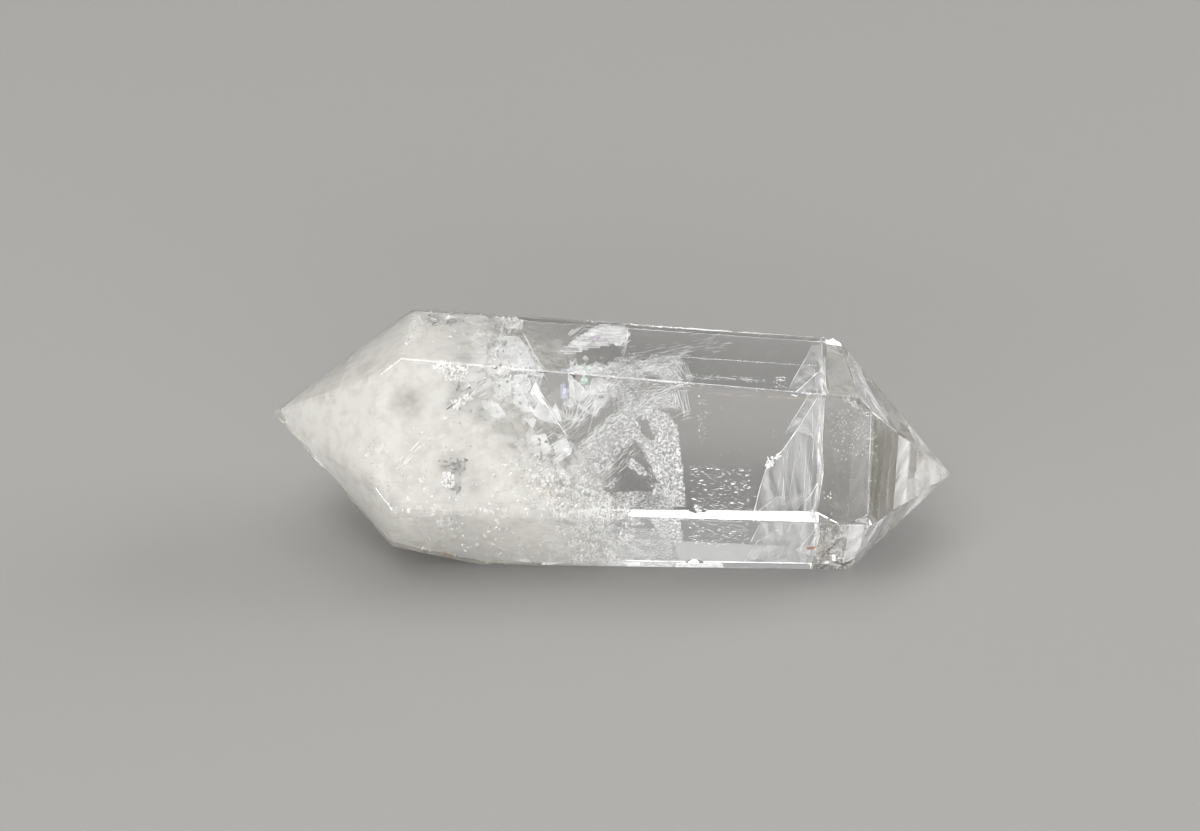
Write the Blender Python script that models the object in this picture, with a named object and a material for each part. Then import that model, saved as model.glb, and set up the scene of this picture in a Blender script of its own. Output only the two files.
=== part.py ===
"""A clear quartz crystal with a six-faced point at each end, lying on one of its long faces.

The long axis runs along X. The stone is sawn from a rough block: six long prism faces that
taper towards the right-hand end, then six faces at each end that all pass through the tip.
The edges are eased, the tips are blunted, and small shell-shaped chips are bitten out.
"""
import math

import bmesh
import bpy
from mathutils import Matrix, Vector

# Overall size, in metres
LENGTH = 0.076
BLOCK_SIZE = Vector((LENGTH, 0.036, 0.036))
AXIS_HEIGHT = 0.012

# The two tips lie off the long axis
LEFT_TIP = Vector((-LENGTH / 2, 0.0028, 0.0142))
RIGHT_TIP = Vector((LENGTH / 2, -0.0036, 0.0100))
LEFT_TIP_FLAT = 0.00030
RIGHT_TIP_FLAT = 0.00012

# Each prism face: degrees round the long axis from straight up towards -Y,
# degrees of taper towards the right-hand tip, and distance from the axis at mid-length
PRISM_FACES = {
    "top": (0, 4.5, 0.01155),
    "front": (60, 0.5, 0.01070),
    "front_low": (120, -1.2, 0.01225),
    "bottom": (180, 0.0, AXIS_HEIGHT),
    "back_low": (240, 1.1, 0.01060),
    "back_high": (300, 2.6, 0.01180),
}

# Each end face: degrees round the long axis, and degrees that it leans out towards its tip
LEFT_FACES = {
    "top": (-3, 34.6),
    "front": (57.5, 42.8),
    "front_low": (115, 47),
    "bottom": (200, 23.2),
    "back_low": (241, 35),
    "back_high": (302, 31.5),
}
RIGHT_FACES = {
    "top": (-3.5, 45.4),
    "front": (61.4, 39.7),
    "front_low": (125.5, 40),
    "bottom": (180, 41),
    "back_low": (236, 40.9),
    "back_high": (294.7, 48.3),
}

# Eased edges
EDGE_ROUND = 0.00014
EDGE_STEPS = 2
WELD = 0.000001

# Shell-shaped chips on edges between two faces: the edge, the place along X,
# the radius of the shell and how deep it bites
CHIPS = {
    "back corner": ("top", "back_high", -0.0212, 0.0021, 0.00042),
    "top edge": ("top", "front", -0.0118, 0.0016, 0.00016),
    "top edge right": ("top", "front", 0.0214, 0.0012, 0.00014),
    "back edge": ("top", "back_high", 0.0142, 0.0018, 0.00020),
    "foot edge": ("front_low", "bottom", -0.0124, 0.0019, 0.00026),
    "rear foot edge": ("back_low", "bottom", 0.0100, 0.0024, 0.00034),
}
CHIP_ROUNDNESS = 3

QUARTZ_COLOUR = (0.90, 0.91, 0.90, 1.0)
QUARTZ_IOR = 1.544
QUARTZ_ROUGHNESS = 0.02


def clear_file():
    """Remove whatever the file starts with."""
    for item in list(bpy.data.objects):
        bpy.data.objects.remove(item, do_unlink=True)


def new_collection(name):
    """Add a named collection to the scene."""
    group = bpy.data.collections.new(name)
    bpy.context.scene.collection.children.link(group)
    return group


def facing(turn, lean):
    """Give the outward direction of a face from its turn round X and its lean towards +X."""
    turn = math.radians(turn)
    lean = math.radians(lean)
    across = math.cos(lean)
    return Vector((math.sin(lean), -across * math.sin(turn), across * math.cos(turn)))


def prism_plane(name):
    """Give a point on a prism face and the face's outward direction."""
    turn, taper, reach = PRISM_FACES[name]
    outward = facing(turn, taper)
    middle = Vector((0, 0, AXIS_HEIGHT))
    return middle + reach * outward, outward


def saw(mesh, point, outward):
    """Cut away what lies outside a plane and close the cut with one flat face."""
    everything = mesh.verts[:] + mesh.edges[:] + mesh.faces[:]
    bmesh.ops.bisect_plane(
        mesh, geom=everything, dist=WELD, plane_co=point, plane_no=outward, clear_outer=True
    )
    bmesh.ops.remove_doubles(mesh, verts=mesh.verts[:], dist=WELD)
    open_edges = [edge for edge in mesh.edges if edge.is_boundary]
    bmesh.ops.holes_fill(mesh, edges=open_edges, sides=0)


def sawn_crystal():
    """Saw the stone from a block and ease its edges."""
    mesh = bmesh.new()
    place = Matrix.Translation((0, 0, AXIS_HEIGHT)) @ Matrix.Diagonal(BLOCK_SIZE).to_4x4()
    bmesh.ops.create_cube(mesh, size=1.0, matrix=place)
    for name in PRISM_FACES:
        saw(mesh, *prism_plane(name))
    for turn, lean in LEFT_FACES.values():
        saw(mesh, LEFT_TIP, facing(turn, -lean))
    for turn, lean in RIGHT_FACES.values():
        saw(mesh, RIGHT_TIP, facing(turn, lean))
    bmesh.ops.bevel(
        mesh,
        geom=mesh.edges[:],
        offset=EDGE_ROUND,
        offset_type="OFFSET",
        segments=EDGE_STEPS,
        profile=0.5,
        affect="EDGES",
        clamp_overlap=False,
    )
    saw(mesh, LEFT_TIP + Vector((LEFT_TIP_FLAT, 0, 0)), Vector((-1, 0, 0)))
    saw(mesh, RIGHT_TIP - Vector((RIGHT_TIP_FLAT, 0, 0)), Vector((1, 0, 0)))
    return mesh


def shift_to_origin(mesh):
    """Move the stone so that the origin is under the middle of its box, and return the move."""
    low = Vector([min(vert.co[axis] for vert in mesh.verts) for axis in range(3)])
    high = Vector([max(vert.co[axis] for vert in mesh.verts) for axis in range(3)])
    move = Vector((-(low.x + high.x) / 2, -(low.y + high.y) / 2, -low.z))
    bmesh.ops.translate(mesh, vec=move, verts=mesh.verts[:])
    return move


def edge_point(first, second, along):
    """Give the point at X = along on the edge where two prism faces meet."""
    point_a, out_a = prism_plane(first)
    point_b, out_b = prism_plane(second)
    slice_out = Vector((1, 0, 0))
    rows = Matrix((out_a, out_b, slice_out))
    return rows.inverted() @ Vector((out_a.dot(point_a), out_b.dot(point_b), along))


def chip_cutter(name, move, group):
    """Make the ball that bites one shell-shaped chip out of an edge."""
    first, second, along, radius, bite = CHIPS[name]
    outward = (prism_plane(first)[1] + prism_plane(second)[1]).normalized()
    centre = edge_point(first, second, along) + (radius - bite) * outward + move
    mesh = bmesh.new()
    bmesh.ops.create_icosphere(
        mesh, subdivisions=CHIP_ROUNDNESS, radius=radius, matrix=Matrix.Translation(centre)
    )
    data = bpy.data.meshes.new("chip " + name)
    mesh.to_mesh(data)
    mesh.free()
    cutter = bpy.data.objects.new("chip " + name, data)
    cutter.hide_render = True
    cutter.display_type = "WIRE"
    group.objects.link(cutter)
    return cutter


def quartz_material():
    """Clear, colourless quartz."""
    material = bpy.data.materials.new("quartz")
    material.use_nodes = True
    shader = material.node_tree.nodes["Principled BSDF"]
    shader.inputs["Base Color"].default_value = QUARTZ_COLOUR
    shader.inputs["Roughness"].default_value = QUARTZ_ROUGHNESS
    shader.inputs["IOR"].default_value = QUARTZ_IOR
    shader.inputs["Transmission Weight"].default_value = 1.0
    return material


def build_crystal():
    """Build the one solid of the object."""
    group = new_collection("Double terminated quartz crystal")
    cutters = new_collection("Chip cutters")
    mesh = sawn_crystal()
    move = shift_to_origin(mesh)
    bmesh.ops.recalc_face_normals(mesh, faces=mesh.faces[:])
    data = bpy.data.meshes.new("crystal")
    mesh.to_mesh(data)
    mesh.free()
    data.materials.append(quartz_material())
    crystal = bpy.data.objects.new("crystal", data)
    group.objects.link(crystal)
    for name in CHIPS:
        chip = crystal.modifiers.new("chip " + name, "BOOLEAN")
        chip.operation = "DIFFERENCE"
        chip.solver = "EXACT"
        chip.object = chip_cutter(name, move, cutters)


clear_file()
build_crystal()
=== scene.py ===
import math
import random

import bmesh
import bpy
from mathutils import Euler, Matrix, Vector, noise


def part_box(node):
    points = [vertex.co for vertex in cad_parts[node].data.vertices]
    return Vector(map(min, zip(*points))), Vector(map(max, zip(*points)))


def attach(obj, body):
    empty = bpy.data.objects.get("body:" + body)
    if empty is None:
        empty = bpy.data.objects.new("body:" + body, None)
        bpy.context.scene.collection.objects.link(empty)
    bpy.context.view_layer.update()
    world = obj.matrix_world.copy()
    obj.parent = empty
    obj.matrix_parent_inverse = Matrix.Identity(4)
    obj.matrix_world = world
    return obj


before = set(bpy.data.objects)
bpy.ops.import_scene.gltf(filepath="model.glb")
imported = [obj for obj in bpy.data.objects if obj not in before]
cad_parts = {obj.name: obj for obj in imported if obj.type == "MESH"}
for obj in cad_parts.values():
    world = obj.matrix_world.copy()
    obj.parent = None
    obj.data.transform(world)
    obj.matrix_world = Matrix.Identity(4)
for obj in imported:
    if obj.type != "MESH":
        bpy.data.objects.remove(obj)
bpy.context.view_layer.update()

MM = 0.001

# Camera, fitted to the photo's corners of the crystal
PHOTO_WIDE, PHOTO_HIGH = 1200, 831
CAMERA_ELEVATION = math.radians(30)
CAMERA_DISTANCE = 250.35 * MM
CAMERA_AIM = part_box("crystal")[0] + Vector((36.65, 20.84, 11.13)) * MM
CAMERA_LENS = 65.0
SENSOR_WIDTH = 36.0
FOCAL_PIXELS = CAMERA_LENS / SENSOR_WIDTH * PHOTO_WIDE

# Quartz, and how near its faces the bodies inside may come
QUARTZ_IOR = 1.544
QUARTZ_TINT = (0.85, 0.84, 0.82, 1)
QUARTZ_DENSITY = 8
CRACK_IOR = 1 / QUARTZ_IOR
MAIN_FACE_AREA = 12 * MM * MM
SKIN = 0.12 * MM
WELD = 1e-6

# Colours
MILK_SHADE, MILK_LIGHT = (0.85, 0.83, 0.79), (0.98, 0.97, 0.94)
ICE_WHITE, SNOW_WHITE, GLINT_WHITE = (0.97, 0.97, 0.96), (1.0, 0.99, 0.97), (0.98, 0.98, 0.98)
BUBBLE_WHITE, CRACK_WHITE, FROST_WHITE = (0.86, 0.86, 0.85), (0.95, 0.95, 0.95), (0.94, 0.93, 0.91)
DARK_SILVER, DULL_SILVER, SMOKE = (0.30, 0.30, 0.31), (0.36, 0.36, 0.35), (0.34, 0.34, 0.31)
STREAK_GREY, REDDISH = (0.35, 0.35, 0.35), (0.72, 0.44, 0.34)
OCHRE, TAN, DARK_BROWN = (0.62, 0.36, 0.12), (0.60, 0.47, 0.36), (0.10, 0.08, 0.06)
FLOOR_GREY = (0.20, 0.197, 0.19)


# Places in the stone

def stone_planes():
    """The crystal's large flat faces, each as an outward direction and a distance."""
    found = {}
    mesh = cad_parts["crystal"].data
    for face in mesh.polygons:
        key = tuple(round(part, 2) for part in face.normal)
        area, outward, reach = found.get(key, (0.0, face.normal.copy(), 0.0))
        found[key] = (area + face.area, outward, face.normal.dot(face.center))
    return [(outward, reach) for area, outward, reach in found.values() if area > MAIN_FACE_AREA]


STONE = stone_planes()


def camera_axes():
    """The camera's right, up and back directions."""
    back = Vector((0, -math.cos(CAMERA_ELEVATION), math.sin(CAMERA_ELEVATION)))
    right = Vector((1, 0, 0))
    return right, back.cross(right), back


def photo_ray(x, y):
    """The camera's place and the direction through a pixel of the photo."""
    right, up, back = camera_axes()
    across = (x - PHOTO_WIDE / 2) / FOCAL_PIXELS
    rise = (PHOTO_HIGH / 2 - y) / FOCAL_PIXELS
    return CAMERA_AIM + CAMERA_DISTANCE * back, (across * right + rise * up - back).normalized()


def in_stone(x, y, depth):
    """The point that shows at a pixel of the photo and lies depth mm along the bent ray."""
    start, way = photo_ray(x, y)
    entry, outward = 0.0, None
    for normal, reach in STONE:
        facing = normal.dot(way)
        if facing < 0:
            distance = (reach - normal.dot(start)) / facing
            if distance > entry:
                entry, outward = distance, normal
    cosine = -outward.dot(way)
    sine_inside = math.sqrt(1 - cosine * cosine) / QUARTZ_IOR
    along = (way + cosine * outward) / QUARTZ_IOR
    inside = along - math.sqrt(1 - sine_inside * sine_inside) * outward
    return start + entry * way + depth * MM * inside


def room(point):
    """How far a point lies inside the nearest main face, in metres."""
    return min(reach - normal.dot(point) for normal, reach in STONE)


# Materials

def new_material(name):
    material = bpy.data.materials.new(name)
    material.use_nodes = True
    return material, material.node_tree.nodes, material.node_tree.links


def feed(links, socket, value):
    """Set a socket to a plain value or link an output to it."""
    if isinstance(value, bpy.types.NodeSocket):
        links.new(value, socket)
    else:
        socket.default_value = value


def maths(nodes, links, operation, first, second):
    node = nodes.new("ShaderNodeMath")
    node.operation = operation
    feed(links, node.inputs[0], first)
    feed(links, node.inputs[1], second)
    return node.outputs["Value"]


def millimetres(nodes, links):
    """The place on a piece as X, Y and Z in millimetres of the stone."""
    place = nodes.new("ShaderNodeTexCoord")
    scale = nodes.new("ShaderNodeVectorMath")
    scale.operation = "SCALE"
    scale.inputs["Scale"].default_value = 1 / MM
    links.new(place.outputs["Object"], scale.inputs[0])
    return scale.outputs["Vector"]


def clouds(nodes, links, place, per_mm, detail=4, stretch=(1, 1, 1)):
    """A soft noise from 0 to 1."""
    size = nodes.new("ShaderNodeMapping")
    size.inputs["Scale"].default_value = stretch
    cloud = nodes.new("ShaderNodeTexNoise")
    cloud.inputs["Scale"].default_value = per_mm
    cloud.inputs["Detail"].default_value = detail
    links.new(place, size.inputs["Vector"])
    links.new(size.outputs["Vector"], cloud.inputs["Vector"])
    return cloud.outputs["Fac"]


def ramp(nodes, links, source, stops):
    """Colours or greys at places along a value."""
    node = nodes.new("ShaderNodeValToRGB")
    bar = node.color_ramp
    bar.elements[0].position, bar.elements[1].position = stops[0][0], stops[-1][0]
    for place, _ in stops[1:-1]:
        bar.elements.new(place)
    for element, (_, colour) in zip(bar.elements, stops):
        element.color = (*colour, 1) if isinstance(colour, tuple) else (colour, colour, colour, 1)
    links.new(source, node.inputs["Fac"])
    return node.outputs["Color"]


def near(nodes, links, place, centre, radius):
    """1 at a point of the stone, falling to 0 at a radius, both in mm."""
    apart = nodes.new("ShaderNodeVectorMath")
    apart.operation = "DISTANCE"
    links.new(place, apart.inputs[0])
    apart.inputs[1].default_value = centre
    fall = nodes.new("ShaderNodeMapRange")
    fall.interpolation_type = "SMOOTHSTEP"
    fall.inputs["From Min"].default_value = radius
    fall.inputs["From Max"].default_value = 0
    links.new(apart.outputs["Value"], fall.inputs["Value"])
    return fall.outputs["Result"]


def quartz_material():
    """Clear quartz with a faint wear of its polish."""
    material, nodes, links = new_material("clear quartz")
    shader = nodes["Principled BSDF"]
    shader.inputs["Base Color"].default_value = (1, 1, 1, 1)
    shader.inputs["IOR"].default_value = QUARTZ_IOR
    worn = clouds(nodes, links, millimetres(nodes, links), 0.45, 1, (0.3, 1, 1))
    links.new(ramp(nodes, links, worn, [(0.58, 0.0), (0.80, 0.05)]), shader.inputs["Roughness"])
    shader.inputs["Transmission Weight"].default_value = 1.0
    haze = nodes.new("ShaderNodeVolumeAbsorption")
    haze.inputs["Color"].default_value = QUARTZ_TINT
    haze.inputs["Density"].default_value = QUARTZ_DENSITY
    links.new(haze.outputs["Volume"], nodes["Material Output"].inputs["Volume"])
    return material


CLEARINGS = {
    # Places in mm where the cloud is thin, each with a radius and how much it takes off
    "smoky window": ((-22, -4, 19), 4.5, 0.9),
    "behind the plates": ((-6, -4, 17), 7.0, 0.6),
    "under the top": ((-9, 1, 23), 6.0, 0.5),
}
# Where along X, in mm at the foot, the cloud ends and is dense, and how far both shift left
# with height
CLOUD_END, CLOUD_DENSE = 4.0, -6.0
CLOUD_SLANT = 0.5
# Size per mm, detail and weight of the wisps, and the share of light that a shell lets through
WISPS = [(0.2, 5, 0.9), (1.0, 3, 0.7)]
WISP_STRETCH = (0.8, 1.2, 1.2)
GLOW = 0.4
SMUDGES = [
    # Pixels where the cloud is greyer, each with a radius in mm and how much it takes off
    (408, 402, 2.8, 0.34), (366, 366, 2.2, 0.26), (470, 358, 1.6, 0.30), (482, 412, 1.7, 0.30),
    (370, 488, 1.9, 0.26), (392, 502, 1.6, 0.20), (438, 320, 1.5, 0.36), (476, 486, 1.3, 0.24),
    (456, 518, 1.5, 0.20), (452, 464, 2.2, 0.22),
]


def milk_material(name, thickness, shift):
    """Creamy cloud that thins out to the right and upwards and lets light through."""
    material, nodes, links = new_material(name)
    nodes.remove(nodes["Principled BSDF"])
    place = millimetres(nodes, links)
    split = nodes.new("ShaderNodeSeparateXYZ")
    links.new(place, split.inputs["Vector"])
    rise = maths(nodes, links, "MULTIPLY", split.outputs["Z"], CLOUD_SLANT)
    slant = maths(nodes, links, "ADD", split.outputs["X"], rise)
    fade = nodes.new("ShaderNodeMapRange")
    fade.inputs["From Min"].default_value = CLOUD_END + shift
    fade.inputs["From Max"].default_value = CLOUD_DENSE + shift
    links.new(slant, fade.inputs["Value"])
    dense = fade.outputs["Result"]
    for centre, radius, less in CLEARINGS.values():
        hole = maths(nodes, links, "MULTIPLY", near(nodes, links, place, centre, radius), -less)
        dense = maths(nodes, links, "ADD", dense, hole)
    for per_mm, detail, weight in WISPS:
        wisps = clouds(nodes, links, place, per_mm, detail, WISP_STRETCH)
        wisps = maths(nodes, links, "SUBTRACT", wisps, 0.5)
        dense = maths(nodes, links, "ADD", dense, maths(nodes, links, "MULTIPLY", wisps, weight))
    cover = ramp(nodes, links, dense, [(0.15, 0.0), (0.45, thickness * 0.55), (0.85, thickness)])
    tint = clouds(nodes, links, place, 0.7, 4)
    cream = ramp(nodes, links, tint, [(0.34, MILK_SHADE), (0.56, MILK_LIGHT)])
    grain = maths(nodes, links, "MULTIPLY", clouds(nodes, links, place, 1.3, 3, (0.7, 1, 1)), 2.0)
    bright = 1.0
    for x, y, radius, less in SMUDGES:
        spot = near(nodes, links, place, in_stone(x, y, 0.5) / MM, radius)
        grey = maths(nodes, links, "MULTIPLY", maths(nodes, links, "MULTIPLY", spot, grain), less)
        bright = maths(nodes, links, "SUBTRACT", bright, grey)
    tone = nodes.new("ShaderNodeVectorMath")
    tone.operation = "SCALE"
    links.new(cream, tone.inputs[0])
    links.new(bright, tone.inputs["Scale"])
    colour = tone.outputs["Vector"]
    front = nodes.new("ShaderNodeBsdfDiffuse")
    through = nodes.new("ShaderNodeBsdfTranslucent")
    links.new(colour, front.inputs["Color"])
    links.new(colour, through.inputs["Color"])
    cloud = nodes.new("ShaderNodeMixShader")
    cloud.inputs["Fac"].default_value = GLOW
    links.new(front.outputs["BSDF"], cloud.inputs[1])
    links.new(through.outputs["BSDF"], cloud.inputs[2])
    clear = nodes.new("ShaderNodeBsdfTransparent")
    mixed = nodes.new("ShaderNodeMixShader")
    links.new(cover, mixed.inputs["Fac"])
    links.new(clear.outputs["BSDF"], mixed.inputs[1])
    links.new(cloud.outputs["Shader"], mixed.inputs[2])
    links.new(mixed.outputs["Shader"], nodes["Material Output"].inputs["Surface"])
    return material


def film_material(name, frost):
    """An air-filled crack: a mirror where it is met aslant, open head on, with frosty patches."""
    material, nodes, links = new_material(name)
    place = millimetres(nodes, links)
    nodes.remove(nodes["Principled BSDF"])
    fresnel = nodes.new("ShaderNodeFresnel")
    fresnel.inputs["IOR"].default_value = CRACK_IOR
    gap = nodes.new("ShaderNodeBsdfTransparent")
    mirror = nodes.new("ShaderNodeBsdfGlossy")
    mirror.inputs["Roughness"].default_value = 0.03
    crack = nodes.new("ShaderNodeMixShader")
    links.new(fresnel.outputs["Fac"], crack.inputs["Fac"])
    links.new(gap.outputs["BSDF"], crack.inputs[1])
    links.new(mirror.outputs["BSDF"], crack.inputs[2])
    white = nodes.new("ShaderNodeBsdfDiffuse")
    white.inputs["Color"].default_value = (*FROST_WHITE, 1)
    patches = ramp(nodes, links, clouds(nodes, links, place, 1.2), [(0.42, 0.0), (0.70, frost)])
    mixed = nodes.new("ShaderNodeMixShader")
    links.new(patches, mixed.inputs["Fac"])
    links.new(crack.outputs["Shader"], mixed.inputs[1])
    links.new(white.outputs["BSDF"], mixed.inputs[2])
    links.new(mixed.outputs["Shader"], nodes["Material Output"].inputs["Surface"])
    return material


def haze_material(name, thickness, grain, floor, stretch=(1, 1, 1), colour=CRACK_WHITE):
    """Fine matter spread so thin that it shows only in patches."""
    material, nodes, links = new_material(name)
    shader = nodes["Principled BSDF"]
    place = millimetres(nodes, links)
    patches = clouds(nodes, links, place, grain, 4, stretch)
    links.new(ramp(nodes, links, patches, [(0.38, floor), (0.66, thickness)]), shader.inputs["Alpha"])
    shader.inputs["Base Color"].default_value = (*colour, 1)
    shader.inputs["Roughness"].default_value = 0.45
    return material


def fleck_material(name, colour, metallic=0.0, roughness=0.4):
    """Solid specks and splinters, in two near shades."""
    material, nodes, links = new_material(name)
    shader = nodes["Principled BSDF"]
    place = millimetres(nodes, links)
    darker = tuple(part * 0.82 for part in colour)
    shades = ramp(nodes, links, clouds(nodes, links, place, 1.5, 2), [(0.35, darker), (0.65, colour)])
    links.new(shades, shader.inputs["Base Color"])
    shader.inputs["Metallic"].default_value = metallic
    shader.inputs["Roughness"].default_value = roughness
    return material


def floor_material():
    material, nodes, _ = new_material("pale floor")
    shader = nodes["Principled BSDF"]
    shader.inputs["Base Color"].default_value = (*FLOOR_GREY, 1)
    shader.inputs["Roughness"].default_value = 0.9
    shader.inputs["Specular IOR Level"].default_value = 0.0
    return material


# Stage

FLOOR_SIZE, FLOOR_HEIGHT = 14.0, -0.04 * MM
SKY_STRENGTH = 0.55
SKY = [(0.0, (0.60, 0.60, 0.59)), (0.35, (0.70, 0.70, 0.70)), (1.0, (1.0, 1.0, 1.0))]
LAMP_TARGET = (0, 0, 0.012)
LAMPS = [
    # Name, place and size in metres, power in watts
    ("key", (-0.46, -0.70, 1.46), (1.2, 1.2), 26),
    ("overhead", (0, 0.30, 1.90), (1.7, 1.7), 20),
    ("front fill", (-0.30, -1.40, 0.28), (3.6, 0.50), 58),
    ("right fill", (1.50, 0.40, 0.66), (1.1, 1.1), 24),
]


def add_camera():
    right, up, back = camera_axes()
    data = bpy.data.cameras.new("photo view")
    data.lens = CAMERA_LENS
    data.sensor_width = SENSOR_WIDTH
    camera = bpy.data.objects.new("photo view", data)
    camera.location = CAMERA_AIM + CAMERA_DISTANCE * back
    camera.rotation_mode = "QUATERNION"
    camera.rotation_quaternion = (-back).to_track_quat("-Z", "Y")
    bpy.context.scene.collection.objects.link(camera)
    bpy.context.scene.camera = camera


def add_floor():
    bpy.ops.mesh.primitive_plane_add(size=FLOOR_SIZE, location=(0, 0, FLOOR_HEIGHT))
    floor = bpy.context.object
    floor.name = "floor"
    floor.data.materials.append(floor_material())


def add_sky():
    world = bpy.data.worlds.new("soft studio")
    bpy.context.scene.world = world
    world.use_nodes = True
    nodes, links = world.node_tree.nodes, world.node_tree.links
    place = nodes.new("ShaderNodeTexCoord")
    split = nodes.new("ShaderNodeSeparateXYZ")
    links.new(place.outputs["Generated"], split.inputs["Vector"])
    links.new(ramp(nodes, links, split.outputs["Z"], SKY), nodes["Background"].inputs["Color"])
    nodes["Background"].inputs["Strength"].default_value = SKY_STRENGTH


def area_light(name, place, size, power):
    data = bpy.data.lights.new(name, "AREA")
    data.shape = "RECTANGLE"
    data.size, data.size_y = size
    data.energy = power
    lamp = bpy.data.objects.new(name, data)
    lamp.location = place
    lamp.rotation_mode = "QUATERNION"
    lamp.rotation_quaternion = (Vector(LAMP_TARGET) - Vector(place)).to_track_quat("-Z", "Y")
    bpy.context.scene.collection.objects.link(lamp)


# The stone and what is in it

def dress_crystal():
    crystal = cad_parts["crystal"]
    crystal.data.materials.clear()
    crystal.data.materials.append(quartz_material())


def link_piece(name, mesh, material):
    """Link a mesh as a piece of the stone."""
    piece = bpy.data.objects.new(name, mesh)
    bpy.context.scene.collection.objects.link(piece)
    piece.data.materials.append(material)
    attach(piece, "root")
    return piece


# Milk

MILK_SHELLS = [
    # Inset, height of the ripples, both in mm, and the most that the shell hides
    (0.40, 0.12, 0.40),
    (1.2, 0.4, 0.5),
    (2.6, 0.7, 0.75),
    (4.8, 1.0, 1.0),
]
SHELL_SHIFT = -0.6
MILK_REACH = 9 * MM
MILK_END_DIRECTION = Vector((0.8, 0, 0.6))
SHELL_GRID = 0.8 * MM
RIPPLE_SIZE = 3.2 * MM


def inner_hull(inset, right_end):
    """A closed copy of the stone's form, inset from each face and cut off at the right."""
    mesh = bmesh.new()
    bmesh.ops.create_cube(mesh, size=100 * MM)
    cuts = [(normal, reach - inset) for normal, reach in STONE]
    cuts.append((MILK_END_DIRECTION, right_end))
    for normal, reach in cuts:
        whole = mesh.verts[:] + mesh.edges[:] + mesh.faces[:]
        bmesh.ops.bisect_plane(mesh, geom=whole, dist=WELD, plane_co=normal * reach,
                               plane_no=normal, clear_outer=True)
        bmesh.ops.remove_doubles(mesh, verts=mesh.verts[:], dist=WELD)
        open_edges = [edge for edge in mesh.edges if edge.is_boundary]
        bmesh.ops.holes_fill(mesh, edges=open_edges, sides=0)
    return mesh


def cloud_shell(name, inset, right_end, ripple, material):
    """One shell of cloud under the skin of the stone's left part."""
    hull = inner_hull(inset + ripple, right_end)
    mesh = bpy.data.meshes.new(name)
    hull.to_mesh(mesh)
    hull.free()
    piece = link_piece(name, mesh, material)
    remesh = piece.modifiers.new("even faces", "REMESH")
    remesh.mode = "VOXEL"
    remesh.voxel_size = SHELL_GRID
    bpy.context.view_layer.update()
    shown = piece.evaluated_get(bpy.context.evaluated_depsgraph_get())
    solid = bpy.data.meshes.new_from_object(shown)
    piece.modifiers.clear()
    piece.data = solid
    for vertex in solid.vertices:
        swell = noise.fractal(vertex.co / RIPPLE_SIZE, 0.7, 2.1, 4)
        vertex.co += vertex.normal * ripple * max(-1.5, min(0.9, swell))
    solid.update()


def add_milk():
    """Nested shells, each a little denser than the one outside it."""
    for step, (inset, ripple, thickness) in enumerate(MILK_SHELLS):
        cloud_shell(f"milk_{step}", inset * MM, MILK_REACH - inset * MM, ripple * MM,
                    milk_material(f"milk {step}", thickness, SHELL_SHIFT * inset))


# Fine bodies inside the stone. Outlines, lines and spots are in pixels of the photo and show
# there through the stone's faces. Depths and widths are in mm, and lengths and sizes in pixels.

OCTAHEDRON = [
    (0, 2, 4), (2, 1, 4), (1, 3, 4), (3, 0, 4), (2, 0, 5), (1, 2, 5), (3, 1, 5), (0, 3, 5),
]
NO_DRIFTS = -2
SHEET_THICK, THIN_PLATE = 0.03, 0.02
NEEDLE_RINGS = (0.2, 0.5, 0.8)
NEEDLE_SECTION = ((1, 0), (0, 0.35), (-1, 0), (0, -0.35))


def link_points(name, corners, faces, material):
    """Link a piece made from lists of corners and faces."""
    mesh = bpy.data.meshes.new(name)
    mesh.from_pydata(corners, [], faces)
    link_piece(name, mesh, material)


def flecks(name, spots, material, seed):
    """Many tiny splinters in one mesh, from places in metres and sizes in mm."""
    dice = random.Random(seed)
    corners, faces = [], []
    for place, size in spots:
        turn = Euler([dice.uniform(0, math.tau) for _ in range(3)]).to_matrix()
        first = len(corners)
        for axis, part in enumerate((1.0, dice.uniform(0.4, 0.9), dice.uniform(0.15, 0.4))):
            for side in (1, -1):
                tip = Vector((0, 0, 0))
                tip[axis] = side * part * size * MM / 2
                corners.append(place + turn @ tip)
        for trio in OCTAHEDRON:
            faces.append([first + corner for corner in trio])
    link_points(name, corners, faces, material)


def needles(name, lines, material, seed):
    """Many long splinters, each from its two ends in metres and its width in mm."""
    dice = random.Random(seed)
    corners, faces = [], []
    for start, end, width in lines:
        way = (end - start).normalized()
        any_way = Vector((dice.uniform(-1, 1), dice.uniform(-1, 1), dice.uniform(-1, 1)))
        side = way.cross(any_way).normalized()
        over = way.cross(side)
        first = len(corners)
        corners.append(start)
        for along in NEEDLE_RINGS:
            bulge = width * MM / 2 * dice.uniform(0.6, 1.2)
            middle = start.lerp(end, along)
            for turn in NEEDLE_SECTION:
                corners.append(middle + bulge * (turn[0] * side + turn[1] * over))
        corners.append(end)
        for corner in range(4):
            near_a, near_b = first + 1 + corner, first + 1 + (corner + 1) % 4
            faces.append([first, near_b, near_a])
            for ring in (0, 4):
                faces.append([near_a + ring, near_b + ring, near_b + ring + 4, near_a + ring + 4])
            faces.append([near_a + 8, near_b + 8, first + 13])
    link_points(name, corners, faces, material)


def flattened(outline):
    """The corners moved onto one plane, and the plane's direction."""
    middle = sum(outline, Vector()) / len(outline)
    turns = [(a - middle).cross(b - middle) for a, b in zip(outline, outline[1:] + outline[:1])]
    normal = sum(turns, Vector()).normalized()
    return [corner - normal * normal.dot(corner - middle) for corner in outline], normal


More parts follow.
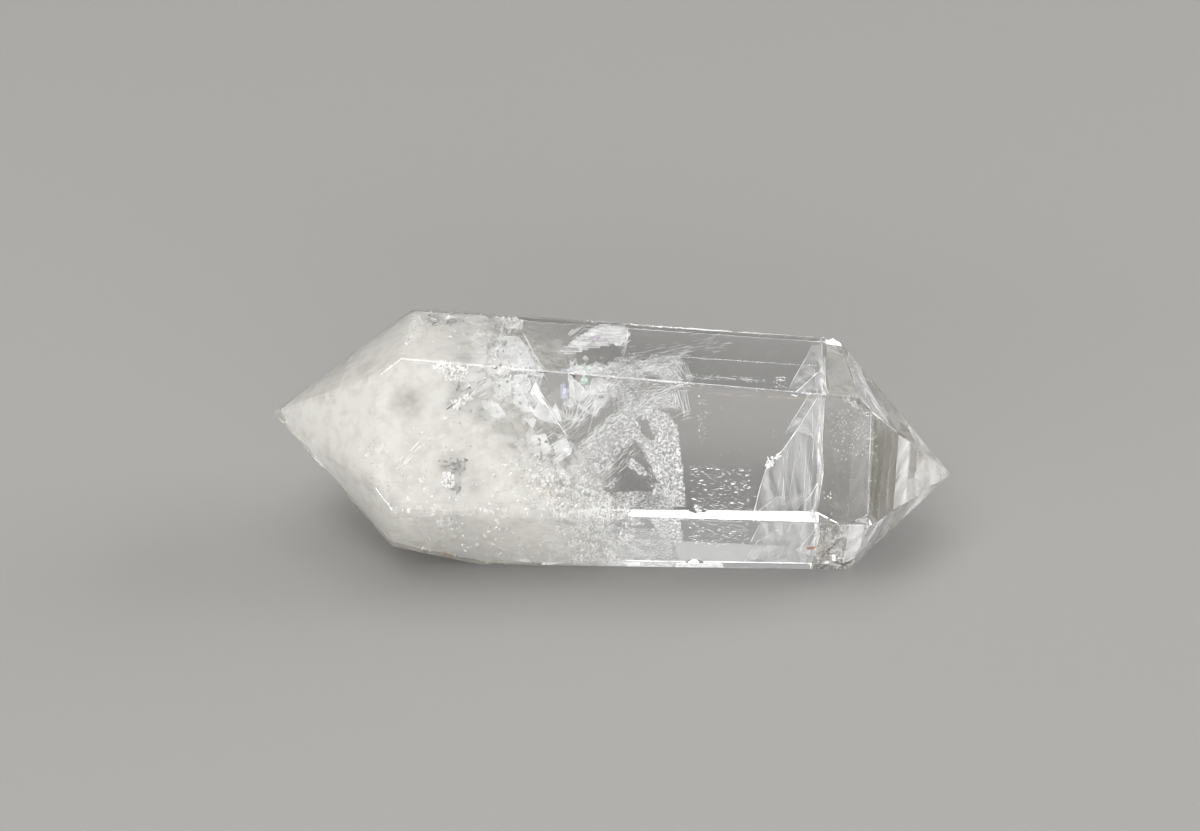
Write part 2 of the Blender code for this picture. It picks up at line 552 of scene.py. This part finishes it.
def shards(name, plates, material, thick=SHEET_THICK):
    """Thin flat plates, each from its corners in metres."""
    corners, faces = [], []
    for outline in plates:
        flat, normal = flattened(outline)
        first, count = len(corners), len(flat)
        across = normal * thick * MM / 2
        corners += [corner + across for corner in flat] + [corner - across for corner in flat]
        faces.append([first + corner for corner in range(count)])
        faces.append([first + 2 * count - 1 - corner for corner in range(count)])
        for corner in range(count):
            here, after = first + corner, first + (corner + 1) % count
            faces.append([after, here, here + count, after + count])
    link_points(name, corners, faces, material)


def gathered(make, rows):
    """What a maker gives for each row of a table, in one list."""
    return [item for row in rows for item in make(*row)]


def within(x, y, outline):
    """Whether a pixel lies inside an outline of pixels."""
    inside = False
    for (ax, ay), (bx, by) in zip(outline, outline[1:] + outline[:1]):
        if (ay > y) != (by > y) and x < (bx - ax) * (y - ay) / (by - ay) + ax:
            inside = not inside
    return inside


def pixels_in(outline, count, dice):
    """Random pixels inside an outline."""
    xs, ys = [x for x, _ in outline], [y for _, y in outline]
    found = []
    while len(found) < count:
        x, y = dice.uniform(min(xs), max(xs)), dice.uniform(min(ys), max(ys))
        if within(x, y, outline):
            found.append((x, y))
    return found


def dust(outline, depths, count, sizes, seed, clump=-0.3, thin_in=()):
    """Places and sizes of flecks that show within an outline, in drifts."""
    dice = random.Random(seed)
    spots = []
    for x, y in pixels_in(outline, count, dice):
        drift = noise.fractal(Vector((x / 9, y / 9, seed)), 0.8, 2.0, 3)
        if drift < clump - dice.random() * 0.3:
            continue
        if any(within(x, y, window) for window in thin_in) and dice.random() < 0.6:
            continue
        place = in_stone(x, y, dice.uniform(*depths))
        if room(place) > SKIN:
            spots.append((place, dice.uniform(*sizes)))
    return spots


def plates_in(outline, depths, count, sizes, seed, slope=0.07):
    """Random polygons at random slants that show within an outline, sizes in pixels."""
    dice = random.Random(seed)
    plates = []
    for x, y in pixels_in(outline, count, dice):
        size, depth = dice.uniform(*sizes), dice.uniform(*depths)
        lean_x, lean_y = dice.gauss(0, slope), dice.gauss(0, slope)
        long, turn = dice.uniform(1.0, 2.0), dice.uniform(0, math.tau)
        ring = []
        for step in range(dice.choice((3, 4, 4, 5))):
            angle = math.tau * (step + dice.uniform(-0.3, 0.3)) / 5
            ring.append((long * math.cos(angle), math.sin(angle) / long))
        if len(ring) < 5:
            turns = [math.tau * step / len(ring) for step in range(len(ring))]
            ring = [(math.cos(angle) * dice.uniform(0.5, 1.0) * long,
                     math.sin(angle) * dice.uniform(0.5, 1.0)) for angle in turns]
        corners = []
        for across, down in ring:
            dx = size * (across * math.cos(turn) - down * math.sin(turn))
            dy = size * (across * math.sin(turn) + down * math.cos(turn))
            corners.append(in_stone(x + dx, y + dy, depth + lean_x * dx + lean_y * dy))
        if min(room(corner) for corner in corners) > SKIN:
            plates.append(corners)
    return plates


def rims_of(plates, width, seed, share=0.7):
    """Needles along most of the plates' edges."""
    dice = random.Random(seed)
    lines = []
    for corners in plates:
        for start, end in zip(corners, corners[1:] + corners[:1]):
            if dice.random() < share:
                lines.append((start, end, dice.uniform(0.6, 1.2) * width))
    return lines


def streaks(line, depth, spread, count, lengths, width, seed, fan=0.0):
    """Needles that run along a line of pixels, scattered to both sides."""
    dice = random.Random(seed)
    legs = list(zip(line, line[1:]))
    sizes = [math.dist(a, b) for a, b in legs]
    lines = []
    for a, b in dice.choices(legs, weights=sizes, k=count):
        size = math.dist(a, b)
        run_x, run_y = (b[0] - a[0]) / size, (b[1] - a[1]) / size
        along, off = dice.uniform(0, size), dice.gauss(0, spread)
        half = dice.uniform(*lengths) / 2
        veer = dice.gauss(0, fan)
        x, y = a[0] + along * run_x - off * run_y, a[1] + along * run_y + off * run_x
        dx, dy = half * (run_x - veer * run_y), half * (run_y + veer * run_x)
        deep = depth + dice.gauss(0, 0.6)
        start = in_stone(x - dx, y - dy, deep)
        end = in_stone(x + dx, y + dy, deep + dice.gauss(0, 0.4))
        if min(room(start), room(end)) > SKIN:
            lines.append((start, end, width * dice.uniform(0.5, 1.3)))
    return lines


def outline_needles(line, depth, width):
    """Needles end to end along a line of pixels."""
    places = [in_stone(x, y, depth) for x, y in line]
    return [(a.lerp(b, -0.15), b.lerp(a, -0.15), width) for a, b in zip(places, places[1:])]


def link_sheet(name, mesh, material):
    """Give an open mesh its thickness and link it as a smooth piece."""
    bmesh.ops.recalc_face_normals(mesh, faces=mesh.faces[:])
    bmesh.ops.solidify(mesh, geom=mesh.faces[:], thickness=SHEET_THICK * MM)
    data = bpy.data.meshes.new(name)
    mesh.to_mesh(data)
    mesh.free()
    link_piece(name, data, material)
    for face in data.polygons:
        face.use_smooth = True


def sheet(name, outline, depth, crumple, cell, material, seed, holes=(), bumps=20):
    """A thin, slightly crumpled sheet that shows within an outline and may have ragged holes."""
    xs, ys = [x for x, _ in outline], [y for _, y in outline]
    columns = max(2, round((max(xs) - min(xs)) / cell))
    rows = max(2, round((max(ys) - min(ys)) / cell))
    mesh = bmesh.new()
    points = {}
    for row in range(rows + 1):
        for column in range(columns + 1):
            x = min(xs) + (max(xs) - min(xs)) * column / columns
            y = min(ys) + (max(ys) - min(ys)) * row / rows
            swell = noise.fractal(Vector((x / bumps, y / bumps, seed)), 1.0, 2.0, 2)
            place = in_stone(x, y, depth(x, y) + crumple * swell)
            open_here = any(within(x, y, hole) for hole in holes) and swell < 0.2
            if within(x, y, outline) and room(place) > SKIN and not open_here:
                points[row, column] = mesh.verts.new(place)
    for row in range(rows):
        for column in range(columns):
            keys = (row, column), (row, column + 1), (row + 1, column + 1), (row + 1, column)
            square = [points.get(key) for key in keys]
            if all(square):
                mesh.faces.new(square)
    loose = [vertex for vertex in mesh.verts if not vertex.link_faces]
    while loose:
        bmesh.ops.delete(mesh, geom=loose, context="VERTS")
        loose = [vertex for vertex in mesh.verts
                 if sum(edge.is_boundary for edge in vertex.link_edges) > 2]
    link_sheet(name, mesh, material)


def swept_sheet(name, left, right, depths, steps, material):
    """A smooth sheet between two lines of pixels, each with as many points."""
    rows = len(left)
    mesh = bmesh.new()
    grid = []
    for row in range(rows):
        line = []
        for step in range(steps + 1):
            share = step / steps
            x = left[row][0] + (right[row][0] - left[row][0]) * share
            y = left[row][1] + (right[row][1] - left[row][1]) * share
            bulge = 1.2 * math.sin(share * math.pi)
            depth = depths[0] + (depths[1] - depths[0]) * share - bulge
            line.append(mesh.verts.new(in_stone(x, y, depth)))
        grid.append(line)
    for upper, lower in zip(grid, grid[1:]):
        for step in range(steps):
            mesh.faces.new((upper[step], upper[step + 1], lower[step + 1], lower[step]))
    link_sheet(name, mesh, material)


# The middle veil and the ribbons of fine bubbles. In every table of streaks a row is a line of
# pixels, depth, spread, count, lengths, width, seed and, where it isn't 0, the fan; in every table
# of dust it is an outline, depths, count, sizes, seed and drifts.

VEIL = [
    (566, 470), (576, 446), (600, 420), (636, 402), (668, 412), (678, 424), (684, 470),
    (687, 509), (600, 509), (586, 497),
]
VEIL_WINDOWS = [
    [(634, 440), (656, 478), (664, 500), (650, 513), (590, 512), (584, 498), (606, 478), (618, 456)],
    [(640, 420), (656, 422), (660, 434), (652, 440), (642, 432)],
]
VEIL_TOP = [
    (640, 357), (682, 352), (686, 378), (668, 375), (648, 379), (630, 392), (606, 402),
    (612, 380), (622, 366),
]
VEIL_FOOT = [(586, 524), (675, 527), (677, 562), (625, 563), (600, 556), (584, 549)]
VEIL_DUST = [
    (VEIL, (10.5, 12.5), 7500, (0.03, 0.075), 11, -0.1, VEIL_WINDOWS),
    (VEIL_TOP, (8, 9), 2600, (0.03, 0.07), 12),
    (VEIL_FOOT, (8, 9), 2600, (0.03, 0.07), 13),
]
VEIL_STREAKS = [
    ([(566, 432), (598, 408), (622, 376), (650, 360), (690, 350)], 8.0, 3.5, 260, (4, 14), 0.035, 50, 0.10),
    ([(580, 444), (612, 420), (650, 398), (692, 380)], 9.0, 3.0, 260, (4, 14), 0.035, 51, 0.10),
    ([(600, 372), (640, 356), (690, 348), (730, 340)], 7.0, 5.0, 160, (4, 14), 0.035, 52, 0.10),
    ([(604, 478), (634, 446)], 11.0, 4.0, 110, (4, 12), 0.035, 54, 0.12),
    ([(650, 468), (668, 500)], 11.0, 4.0, 90, (3, 8), 0.035, 55, 0.5),
]


def veil_depth(x, _):
    return 12 + (x - 620) * 0.015


def thin_veil_depth(*_):
    return 9


def add_veil():
    haze = haze_material("bubble veil", thickness=0.45, grain=3.4, floor=0.03)
    sheet("veil_sheet", VEIL, veil_depth, 0.3, 2, haze, 3, VEIL_WINDOWS)
    sheet("veil_top_sheet", VEIL_TOP, thin_veil_depth, 0.3, 4, haze, 4)
    sheet("veil_foot_sheet", VEIL_FOOT, thin_veil_depth, 0.3, 4, haze, 6)
    pale = fleck_material("bubble flecks", BUBBLE_WHITE)
    flecks("veil_flecks", gathered(dust, VEIL_DUST), pale, 1)
    needles("veil_streaks", gathered(streaks, VEIL_STREAKS), pale, 2)


# Dashes, beads and specks of the clear part

DASHES = [
    # An outline, the count, how much less deep than 10 to 14 mm, and the seed
    ([(690, 462), (750, 470), (750, 514), (692, 516)], 250, 0, 70),
    ([(693, 527), (754, 529), (752, 543), (694, 543)], 80, 5, 71),
]
BRIGHT_LINE = [
    ([(687, 375), (702, 379), (722, 377), (745, 380), (764, 381)], 0.9, 0.8, 40, (2, 9), 0.11, 75, 0.03),
]
LINE_SPECKS = [
    ([(687, 373), (766, 378), (766, 383), (687, 378)], (0.5, 1.1), 90, (0.08, 0.26), 88, NO_DRIFTS),
    ([(774, 376), (785, 376), (787, 388), (773, 388)], (0.5, 1.0), 30, (0.12, 0.4), 81, NO_DRIFTS),
]
BEAD_DEPTH = 0.8
BEADS = [
    # Pixels and sizes in mm
    (781, 380, 0.85), (784, 377, 0.5), (776, 387, 0.5), (757, 388, 0.25), (716, 366, 0.25),
]
END_SPECKS = [
    ([(828, 410), (869, 408), (868, 458), (830, 450)], (1, 5), 190, (0.10, 0.20), 84, NO_DRIFTS),
    ([(826, 450), (866, 450), (864, 515), (826, 515)], (2, 10), 60, (0.07, 0.16), 85, NO_DRIFTS),
    ([(824, 492), (832, 492), (832, 499), (824, 499)], (3, 4), 8, (0.2, 0.35), 86, NO_DRIFTS),
]
CLEAR_SPECKS = [
    ([(698, 396), (706, 397), (705, 444), (697, 443)], (8, 11), 45, (0.08, 0.25), 82, NO_DRIFTS),
    ([(700, 385), (812, 395), (790, 440), (700, 460)], (3, 16), 60, (0.08, 0.18), 83, NO_DRIFTS),
    ([(700, 345), (815, 352), (812, 375), (700, 368)], (3, 8), 30, (0.09, 0.18), 87, NO_DRIFTS),
]
REDDISH_GLINT = [([(806, 547), (815, 546), (814, 549.5), (807, 550)], 0.6)]


def dashes_in(outline, count, lift, seed):
    """Short needles that lie along the stone and show within an outline."""
    dice = random.Random(seed)
    lines = []
    for x, y in pixels_in(outline, count, dice):
        half, depth = dice.uniform(0.5, 2.6), dice.uniform(10, 14) - lift
        rise = dice.gauss(0, 0.3)
        start, end = in_stone(x - half, y + rise, depth), in_stone(x + half, y - rise, depth)
        if min(room(start), room(end)) > SKIN:
            lines.append((start, end, dice.uniform(0.02, 0.07)))
    return lines


def add_sparkles():
    bright = fleck_material("glints", GLINT_WHITE, metallic=0.6, roughness=0.2)
    needles("dashes", gathered(dashes_in, DASHES), bright, 3)
    white = fleck_material("white specks", ICE_WHITE)
    needles("bright_line", gathered(streaks, BRIGHT_LINE), white, 12)
    beads = [(in_stone(x, y, BEAD_DEPTH), size) for x, y, size in BEADS]
    flecks("white_specks", gathered(dust, LINE_SPECKS) + beads + gathered(dust, END_SPECKS), white, 13)
    flecks("specks", gathered(dust, CLEAR_SPECKS), bright, 4)
    red = fleck_material("reddish glint", REDDISH, metallic=0.3, roughness=0.3)
    shards("reddish_glint", single_plates(REDDISH_GLINT, 0.0, 89), red)


# Plates and flakes of the cracked part. In every table of random plates a row is an outline,
# depths, count, sizes, seed and, where it differs, the slope.

WALL = [
    ([(470, 338), (512, 334), (530, 350), (545, 385), (558, 420), (528, 424), (505, 412), (484, 380)],
     (1.2, 4.5), 60, (5, 11), 101),
    ([(425, 345), (480, 338), (500, 400), (470, 430), (430, 420)], (1.5, 6), 40, (5, 12), 102),
    ([(520, 430), (575, 436), (590, 470), (540, 486), (515, 460)], (2, 6), 34, (4, 9), 103),
    ([(566, 370), (620, 372), (600, 410), (568, 424)], (5, 8), 30, (4, 9), 104),
]
PLATES = [
    # Corners of single plates in pixels, and their depths in mm
    ([(507, 336), (520, 337), (525, 345), (536, 367), (525, 370), (512, 367), (506, 352)], 1.6),
    ([(514, 375), (527, 374), (532, 387), (525, 395), (512, 392)], 1.7),
    ([(512, 395), (525, 395), (527, 402), (535, 412), (525, 412), (515, 405)], 2.0),
    ([(536, 381), (545, 406), (530, 393)], 1.6),
    ([(540, 400), (558, 424), (543, 421), (532, 414)], 1.8),
    ([(490, 350), (504, 344), (511, 368), (500, 380), (488, 368)], 1.5),
    ([(493, 382), (510, 377), (511, 393), (498, 400)], 1.4),
    ([(470, 352), (487, 346), (486, 366), (473, 372)], 1.2),
    ([(480, 400), (497, 402), (506, 416), (490, 420)], 1.5),
    ([(462, 372), (480, 374), (492, 384), (478, 392), (464, 384)], 1.0),
    ([(530, 436), (546, 434), (551, 452), (538, 458)], 2.5),
    ([(552, 442), (566, 438), (572, 452), (558, 462)], 3.0),
    ([(568, 374), (588, 370), (596, 388), (580, 402), (570, 396)], 5.0),
    ([(590, 372), (614, 372), (604, 394)], 5.5),
]
LENSES = [
    ([(492, 424), (500, 421), (510, 424), (516, 433), (511, 437), (500, 433)], 0.3),
    ([(505, 445), (511, 443), (517, 446), (512, 449)], 0.3),
    ([(478, 412), (486, 409), (492, 414), (484, 419)], 0.3),
]
FANS = [
    # Outlines and depths of the bright fan under the top face
    ([(566, 346), (575, 337), (592, 328), (618, 323), (628, 331), (620, 338), (598, 340),
      (580, 350)], 3.0),
    ([(580, 334), (600, 322), (624, 320), (629, 334), (622, 350), (610, 344), (596, 346)], 3.6),
    ([(556, 352), (572, 340), (600, 336), (614, 346), (590, 350), (570, 356)], 4.2),
]
TINTS = {
    # Corners in pixels, depth and colour of the faint rainbow spots on the cracks
    "pink": ([(589, 337), (597, 335), (601, 338), (594, 340)], 2.6, (0.86, 0.60, 0.86)),
    "green": ([(580, 378), (588, 377), (589, 384), (582, 385)], 4.0, (0.60, 0.86, 0.70)),
    "blue": ([(560, 384), (566, 383), (566, 398), (561, 399)], 4.0, (0.62, 0.70, 0.94)),
}
BREAK_SLIVERS = [
    ([(527, 340), (543, 371)], 1.5, 0.5, 9, (16, 34), 0.12, 106),
    ([(524, 372), (560, 425)], 1.5, 0.4, 9, (26, 60), 0.11, 107),
    ([(532, 380), (561, 423)], 2.0, 0.4, 7, (26, 50), 0.09, 108),
    ([(570, 372), (564, 424)], 5.5, 2.5, 26, (8, 40), 0.05, 109, 0.15),
    ([(612, 374), (572, 424)], 5.5, 5.0, 60, (5, 26), 0.07, 110, 0.2),
]
FAN_DROPS = (2, 7, 12, 17, 22)
OTHER_SLIVERS = [
    ([(620, 318), (628, 332), (623, 350)], 3.0, 1.6, 34, (4, 13), 0.12, 113, 0.5),
    ([(421, 317), (519, 324)], 1.2, 3.5, 110, (3, 12), 0.09, 114, 0.8),
    ([(450, 408), (486, 384)], 0.6, 7.0, 60, (6, 22), 0.07, 115, 0.12),
    ([(397, 469), (422, 442)], 0.5, 3.5, 30, (6, 20), 0.05, 138, 0.12),
    ([(530, 462), (566, 438)], 1.8, 8.0, 70, (5, 16), 0.06, 139, 0.15),
    ([(444, 452), (452, 456)], 0.5, 1.5, 8, (8, 14), 0.09, 133, 0.1),
    ([(417, 311), (424, 326)], 0.5, 0.4, 6, (8, 14), 0.07, 137, 0.1),
]
DARK_SLIVERS = [
    ([(446, 404), (486, 382)], 0.5, 6.0, 46, (5, 18), 0.08, 116, 0.12),
    ([(428, 318), (522, 322)], 1.0, 3.0, 46, (3, 9), 0.12, 117, 0.6),
    ([(530, 462), (566, 438)], 1.6, 8.0, 26, (4, 12), 0.06, 118, 0.15),
]
DARK_EDGE = [(530, 381), (545, 404), (561, 425)]
MOTTLE_SEED = 190
MOTTLES = [
    # Outlines with dull silver splinters, and how many
    ([(434, 462), (446, 459), (468, 457), (470, 468), (458, 474), (440, 469)], 60),
    ([(448, 482), (462, 485), (461, 492), (450, 493)], 18),
    ([(446, 386), (462, 381), (480, 384), (470, 398), (452, 400)], 26),
    ([(456, 408), (470, 406), (472, 414), (460, 416)], 12),
    ([(528, 446), (540, 438), (560, 440), (556, 462), (536, 464)], 36),
    ([(482, 342), (520, 334), (544, 376), (530, 404), (496, 402)], 40),
    ([(424, 313), (456, 311), (460, 322), (434, 326)], 22),
]
CHIPS = [
    ([(430, 312), (520, 316), (518, 330), (430, 326)], (0.8, 3), 60, (2, 5), 121, 0.12),
    ([(436, 455), (468, 452), (470, 490), (442, 492)], (0.4, 1.2), 30, (2, 6), 122, 0.12),
    ([(446, 384), (484, 382), (480, 412), (446, 412)], (1, 3), 26, (3, 7), 123, 0.12),
]


def single_plates(table, slope, seed):
    """Plates from their corners in pixels, each a little aslant."""
    dice = random.Random(seed)
    plates = []
    for outline, depth in table:
        x0, y0 = outline[0]
        lean_x, lean_y = dice.uniform(-slope, slope), dice.uniform(-slope, slope)
        plates.append([in_stone(x, y, depth + lean_x * (x - x0) + lean_y * (y - y0))
                       for x, y in outline])
    return plates


def fan_arcs():
    """Streaks along nested arcs of the fan under the top face."""
    lines = []
    for step, drop in enumerate(FAN_DROPS):
        arc = [(566 + drop, 334 + drop * 0.3), (584, 322 + drop), (604, 319 + drop),
               (626, 325 + drop * 0.9)]
        lines += streaks(arc, 3.0 + step * 0.3, 1.4, 17, (6, 20), 0.07, 111 + 10 * step, 0.12)
    return lines


def add_shattered_part():
    wall, single = gathered(plates_in, WALL), single_plates(PLATES, 0.03, 130)
    shards("plates", wall, haze_material("cracked ice", thickness=0.6, grain=0.5, floor=0.16))
    frosted = haze_material("frosted plate", thickness=0.8, grain=0.35, floor=0.35)
    shards("large_plates", single, frosted)
    smoke = fleck_material("smoky lens", SMOKE, roughness=0.3)
    shards("smoky_lenses", single_plates(LENSES, 0.01, 131), smoke)
    fan = haze_material("bright fan", thickness=0.9, grain=1.3, floor=0.15, stretch=(0.3, 1, 1))
    for step, (outline, depth) in enumerate(FANS):
        sheet(f"fan_{step}", outline, lambda *_: depth, 0.5, 2, fan, 150 + step, bumps=9)
    for tint, (outline, depth, colour) in TINTS.items():
        film = haze_material(f"{tint} film", thickness=0.4, grain=1.5, floor=0.12, colour=colour)
        shards(f"{tint}_spot", single_plates([(outline, depth)], 0.02, 136), film)
    lines = rims_of(wall, 0.05, 105) + rims_of(single, 0.10, 132, 0.85)
    lines += gathered(streaks, BREAK_SLIVERS) + fan_arcs() + gathered(streaks, OTHER_SLIVERS)
    needles("bright_slivers", lines, fleck_material("ice edges", ICE_WHITE), 5)
    dark = fleck_material("dark silver", DARK_SILVER, metallic=0.9, roughness=0.25)
    lines = gathered(streaks, DARK_SLIVERS) + outline_needles(DARK_EDGE, 1.6, 0.14)
    needles("dark_slivers", lines, dark, 6)
    splinters = []
    for step, (outline, count) in enumerate(MOTTLES):
        splinters += plates_in(outline, (0.3, 0.7), count, (0.7, 2.2), MOTTLE_SEED + step, 0.15)
    silver = fleck_material("dull silver", DULL_SILVER, metallic=0.4)
    shards("dull_splinters", splinters, silver, THIN_PLATE)
    shards("chips", gathered(plates_in, CHIPS), film_material("air film", frost=0.3))


# Snow-like flakes of the milky part

SOFT_SNOW_SEED, BRIGHT_SNOW_SEED = 140, 160
SOFT_SNOW = [
    # An outline, the depths, the count of plates and their sizes
    ([(421, 490), (520, 455), (590, 480), (640, 515), (600, 520), (421, 520)], (0.3, 2.5), 1100, (0.8, 3.2)),
    ([(421, 524), (640, 522), (620, 562), (470, 563), (421, 556)], (0.3, 2.5), 900, (0.8, 3.0)),
    ([(395, 430), (470, 420), (520, 440), (500, 480), (410, 490)], (0.4, 3), 420, (0.8, 3.2)),
    ([(430, 330), (520, 332), (500, 420), (440, 420)], (0.4, 4), 420, (0.8, 3.4)),
    ([(350, 440), (400, 430), (430, 470), (425, 545), (400, 520)], (0.3, 2), 380, (0.8, 3.2)),
    ([(400, 312), (520, 318), (510, 332), (400, 345)], (0.3, 2), 200, (0.8, 3.0)),
]
BRIGHT_SNOW = [
    ([(500, 468), (560, 470), (612, 506), (600, 518), (520, 516)], (0.4, 2.5), 420, (0.5, 1.8)),
    ([(540, 524), (625, 526), (615, 562), (560, 562)], (0.4, 2.5), 320, (0.5, 1.7)),
    ([(421, 490), (500, 480), (500, 556), (421, 550)], (0.3, 1.5), 130, (0.5, 1.6)),
    ([(441, 474), (450, 470), (456, 478), (452, 488), (443, 486)], (0.3, 0.5), 110, (0.8, 2.2)),
    ([(436, 521), (447, 515), (454, 521), (450, 529), (438, 529)], (0.3, 0.5), 90, (0.8, 2.2)),
    ([(450, 401), (468, 393), (472, 398), (456, 410)], (0.3, 0.6), 120, (0.6, 1.8)),
    ([(566, 541), (575, 538), (582, 542), (572, 547)], (0.3, 0.5), 40, (0.8, 2.0)),
    ([(430, 364), (452, 362), (468, 366), (466, 382), (446, 380)], (0.3, 0.9), 260, (0.5, 1.9)),
    ([(497, 318), (522, 318), (521, 329), (502, 328)], (0.6, 1.6), 120, (0.7, 2.4)),
    ([(586, 498), (600, 496), (614, 506), (612, 514), (588, 514)], (1, 3), 90, (0.6, 1.8)),
    ([(484, 350), (524, 340), (536, 372), (520, 402), (496, 398)], (0.6, 1.6), 110, (0.5, 1.6)),
]


def snow(name, fields, material, seed):
    """Fields of tiny white plates in one piece."""
    plates = []
    for step, (outline, depths, count, sizes) in enumerate(fields):
        plates += plates_in(outline, depths, count, sizes, seed + step, 0.12)
    shards(name, plates, material, THIN_PLATE)


def add_snow():
    soft = haze_material("soft snow", thickness=0.5, grain=0.9, floor=0.1, colour=SNOW_WHITE)
    snow("soft_snow", SOFT_SNOW, soft, SOFT_SNOW_SEED)
    snow("bright_snow", BRIGHT_SNOW, fleck_material("snow", SNOW_WHITE), BRIGHT_SNOW_SEED)


# The blade-shaped crack near the right end: its left and right edges as they show through the
# front, the foot and the top face, and their depths

BLADE_LEFT = [
    (817, 398), (812, 406), (801, 424), (790, 440), (782, 451), (768, 464), (765, 472),
    (761, 484), (757, 500), (753, 516),
]
BLADE_RIGHT = [
    (824, 398), (824, 410), (823, 426), (822, 442), (822, 452), (823, 464), (823, 472),
    (821, 486), (819, 502), (815, 516),
]
FOOT_LEFT = [(777, 528), (768, 535), (757, 542), (750, 553), (745, 562)]
FOOT_RIGHT = [(815, 528), (810, 536), (802, 545), (790, 554), (779, 562)]
TOP_LEFT = [(812, 345), (806, 358), (799, 370), (793, 380), (789, 389)]
TOP_RIGHT = [(822, 345), (822, 358), (822, 370), (822, 380), (822, 390)]
FACE_DEPTHS, FOOT_DEPTHS, TOP_DEPTHS = (10, 17), (8, 11), (11, 13)
RIM_DEPTHS, RIM_WIDTH = (16, 17), 6
SILK_STRETCH = (1.6, 1.6, 0.12)
BLADE_EDGES = [
    # A line of pixels, its depth and its width
    (BLADE_LEFT, 10, 0.10),
    (BLADE_RIGHT, 17, 0.14),
    (FOOT_LEFT, 8, 0.09),
    (FOOT_RIGHT, 11, 0.11),
    (TOP_LEFT, 11, 0.07),
    (TOP_RIGHT, 13, 0.10),
]
BLADE_STREAKS = [
    ([(792, 446), (780, 516)], 12, 5.0, 14, (14, 46), 0.04, 160, 0.06),
    ([(812, 420), (806, 516)], 14, 3.0, 10, (14, 46), 0.04, 161, 0.05),
]
BLADE_CHIPS = [([(764, 464), (778, 452), (783, 455), (768, 469)], (9, 10), 22, (0.8, 2.2), 162)]
BLADE_DARK = [([(798, 446), (796, 470)], 11, 1.6, 9, (8, 20), 0.07, 163, 0.1)]


def add_blade():
    silk = haze_material("silky crack", thickness=0.26, grain=0.5, floor=0.03, stretch=SILK_STRETCH)
    swept_sheet("blade_face", BLADE_LEFT, BLADE_RIGHT, FACE_DEPTHS, 10, silk)
    swept_sheet("blade_foot", FOOT_LEFT, FOOT_RIGHT, FOOT_DEPTHS, 8, silk)
    swept_sheet("blade_top", TOP_LEFT, TOP_RIGHT, TOP_DEPTHS, 8, silk)
    rim = haze_material("blade rim", thickness=0.6, grain=0.9, floor=0.15, stretch=SILK_STRETCH)
    rim_left = [(x - RIM_WIDTH, y) for x, y in BLADE_RIGHT]
    swept_sheet("blade_rim", rim_left, BLADE_RIGHT, RIM_DEPTHS, 4, rim)
    edge = fleck_material("blade edges", CRACK_WHITE)
    lines = gathered(outline_needles, BLADE_EDGES) + gathered(streaks, BLADE_STREAKS)
    needles("blade_edges", lines, edge, 7)
    shards("blade_chips", gathered(plates_in, BLADE_CHIPS), edge)
    dark = fleck_material("blade dark streaks", STREAK_GREY, metallic=0.5, roughness=0.3)
    needles("blade_dark", gathered(streaks, BLADE_DARK), dark, 8)


# Stains on the skin and dark specks

STAINS = [
    # The lower edge, and the ochre drift
    ([(440, 552), (452, 553), (455, 558), (442, 557)], (0.4, 1.2), 90, (0.06, 0.2), 170, NO_DRIFTS),
    ([(532, 490), (558, 492), (556, 498), (536, 497)], (1.5, 3.5), 70, (0.06, 0.2), 171, NO_DRIFTS),
]
TAN_THREADS = [
    ([(716, 331.5), (812, 338.5)], 0.4, 0.35, 60, (1.5, 6), 0.05, 176, 0.02),
    ([(708, 393.5), (812, 399.5)], 0.5, 0.7, 70, (3, 12), 0.03, 177, 0.02),
]
SINGLE_SPECKS = [
    # Pixels, depth and size in mm
    (415.5, 522, 0.3, 0.35),
    (575, 364, 3.0, 0.9),
]
DARK_SPECKS = [
    ([(440, 480), (560, 500), (600, 550), (450, 556)], (0.6, 2.5), 16, (0.08, 0.2), 174, NO_DRIFTS),
]


def add_stains():
    flecks("ochre_stain", gathered(dust, STAINS), fleck_material("ochre", OCHRE), 9)
    needles("tan_threads", gathered(streaks, TAN_THREADS), fleck_material("tan threads", TAN), 11)
    spots = [(in_stone(x, y, depth), size) for x, y, depth, size in SINGLE_SPECKS]
    spots += gathered(dust, DARK_SPECKS)
    flecks("dark_specks", spots, fleck_material("dark specks", DARK_BROWN), 10)


add_camera()
add_floor()
add_sky()
for name, place, size, power in LAMPS:
    area_light(name, place, size, power)
dress_crystal()
add_milk()
add_veil()
add_sparkles()
add_shattered_part()
add_snow()
add_blade()
add_stains()

scene = bpy.context.scene
scene.view_settings.view_transform = "Standard"
scene.cycles.max_bounces = 24
scene.cycles.transmission_bounces = 24
scene.cycles.transparent_max_bounces = 48
